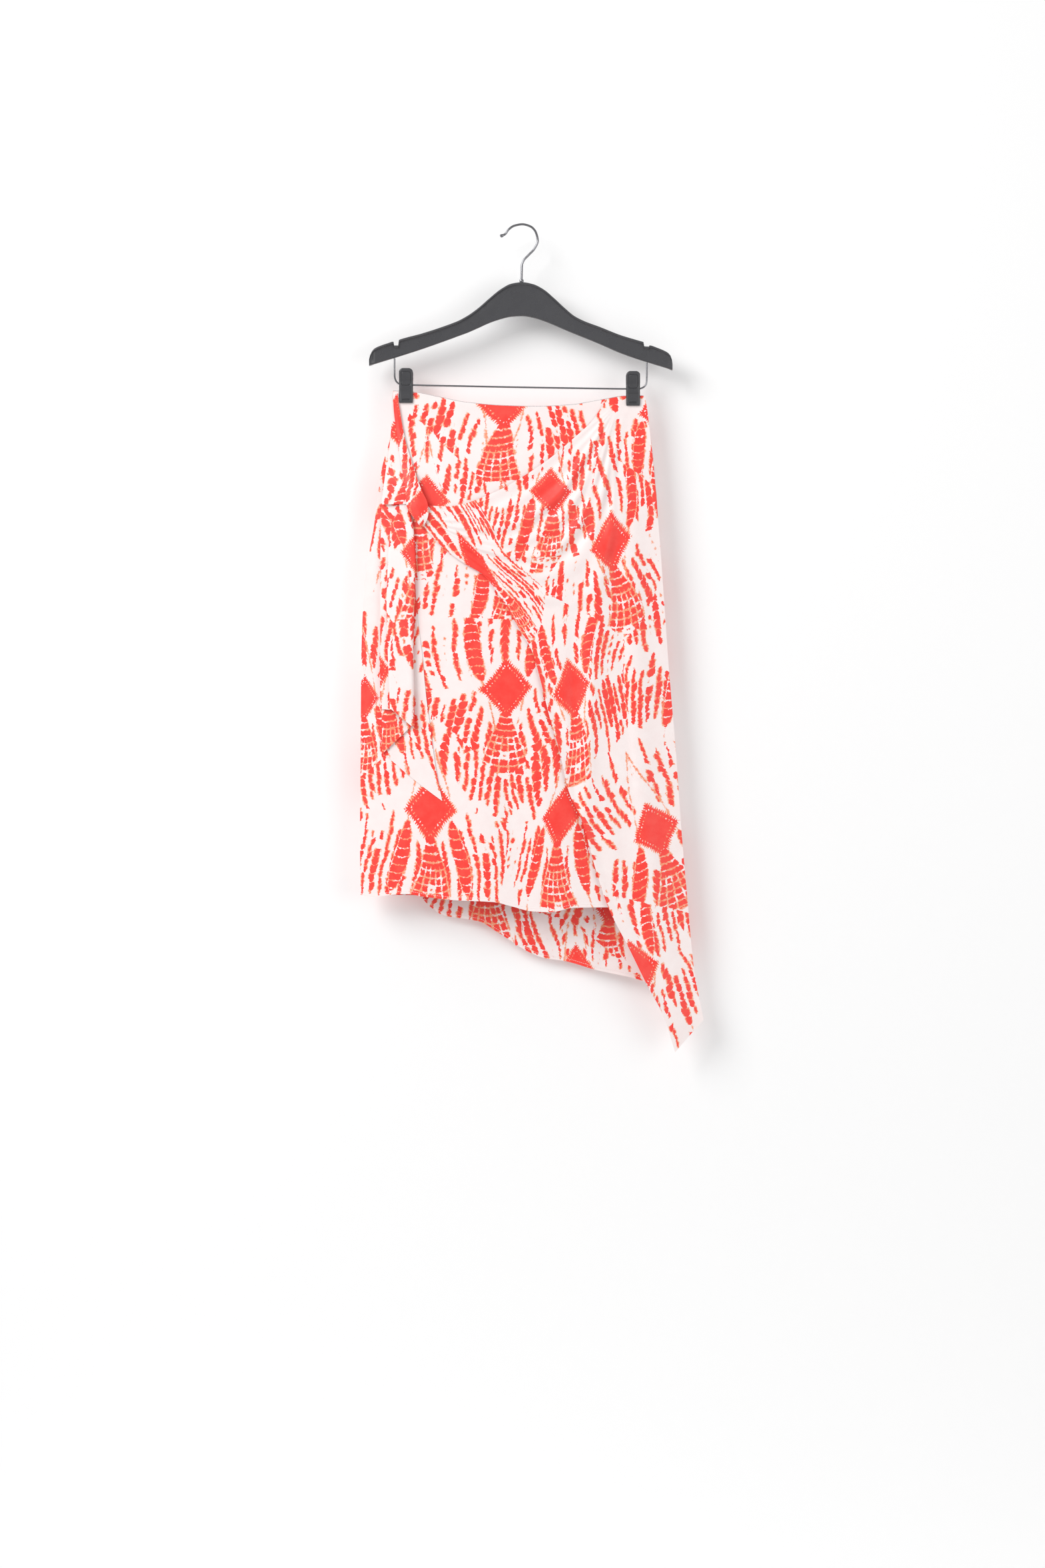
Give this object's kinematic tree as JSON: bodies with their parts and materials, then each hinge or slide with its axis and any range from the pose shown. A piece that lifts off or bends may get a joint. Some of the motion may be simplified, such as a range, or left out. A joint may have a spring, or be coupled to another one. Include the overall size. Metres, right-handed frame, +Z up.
{
  "type": "wrap skirt on a clip hanger",
  "caption": "Silk midi wrap skirt with a knotted left hip, a falling tail and a long right corner, held by its waist on a moulded clip hanger with a steel hook.",
  "frame": {"origin": "inner top of the hook, where it rests on a rail", "axes": "+Z up, the skirt's front looks towards -Y, +X to the viewer's right"},
  "size_m": [0.487, 0.0511, 1.1743],
  "materials": {
    "silk": "soft silk twill, resist-dyed coral red on near-white",
    "hanger_plastic": "semi-gloss black moulding",
    "hanger_steel": "bright plated wire",
    "clip_plastic": "satin black moulding"
  },
  "bodies": {
    "root": {"front_under": "silk", "front_over": "silk", "back_left": "silk", "back_right": "silk", "hip_tab": "silk", "knot_band": "silk", "tail": "silk", "hanger_body": "hanger_plastic", "hook": "hanger_steel", "rod": "hanger_steel", "clip_left_front": "clip_plastic", "clip_left_rear": "clip_plastic", "clip_right_front": "clip_plastic", "clip_right_rear": "clip_plastic"}
  },
  "joints": []
}
